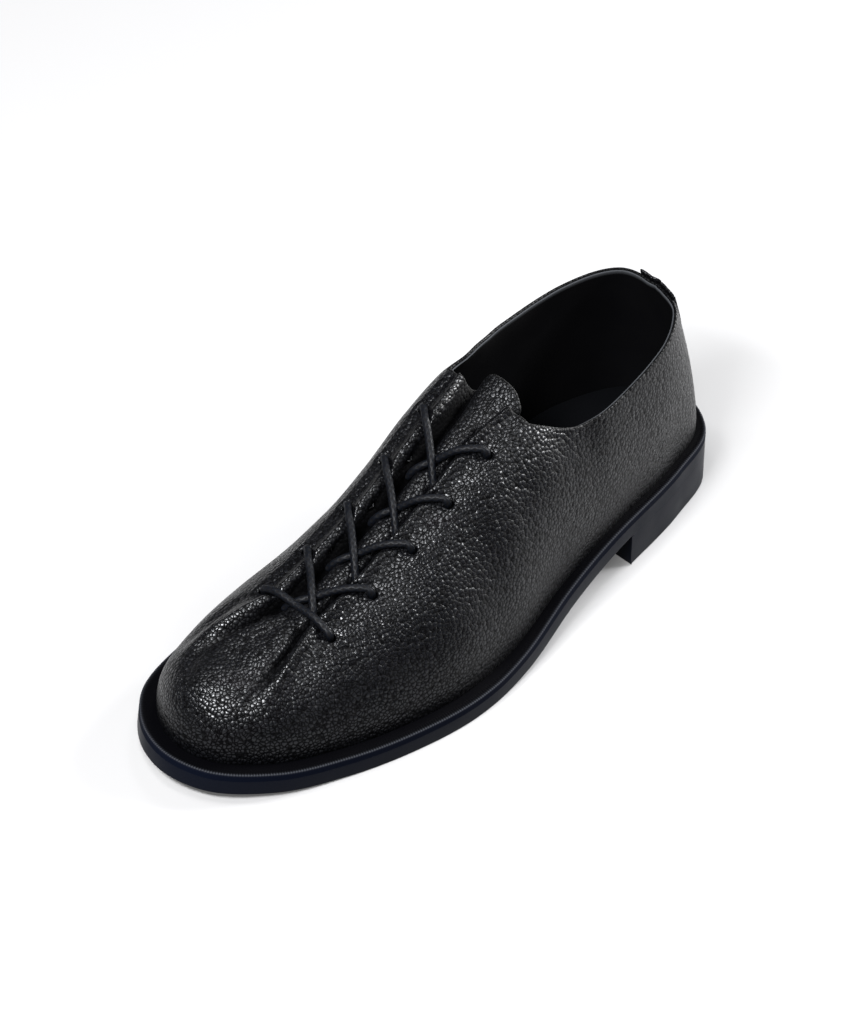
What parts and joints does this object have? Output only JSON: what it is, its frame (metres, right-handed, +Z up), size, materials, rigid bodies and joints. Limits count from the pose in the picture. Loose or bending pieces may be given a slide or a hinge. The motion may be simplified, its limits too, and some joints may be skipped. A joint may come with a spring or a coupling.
{
  "type": "lace-up shoe",
  "caption": "Black leather lace-up postman shoe for the left foot: hollow one-piece upper with two long pleats over the vamp, welted rubber sole with block heel, round laces",
  "frame": {"origin": "centre of the bounding box at the floor, under the waist of the sole", "axes": "+X from heel to toe, +Y to the outer (lateral) side, which is the wearer's left, +Z up"},
  "size_m": [0.2986, 0.1058, 0.0936],
  "materials": {
    "upper_leather": "pebble grain, satin",
    "strip_leather": "pebble grain, satin",
    "welt_leather": "matt, wheeled edge",
    "sole_rubber": "smooth satin",
    "sock_leather": "matt",
    "lace_cord": "waxed braid"
  },
  "bodies": {
    "root": {"upper": "upper_leather", "back_strip": "strip_leather", "welt": "welt_leather", "outsole": "sole_rubber", "heel": "sole_rubber", "insole": "sock_leather", "lace_bar": "lace_cord", "lace_cross_1": "lace_cord", "lace_cross_2": "lace_cord", "lace_cross_3": "lace_cord", "lace_cross_4": "lace_cord"}
  },
  "joints": []
}
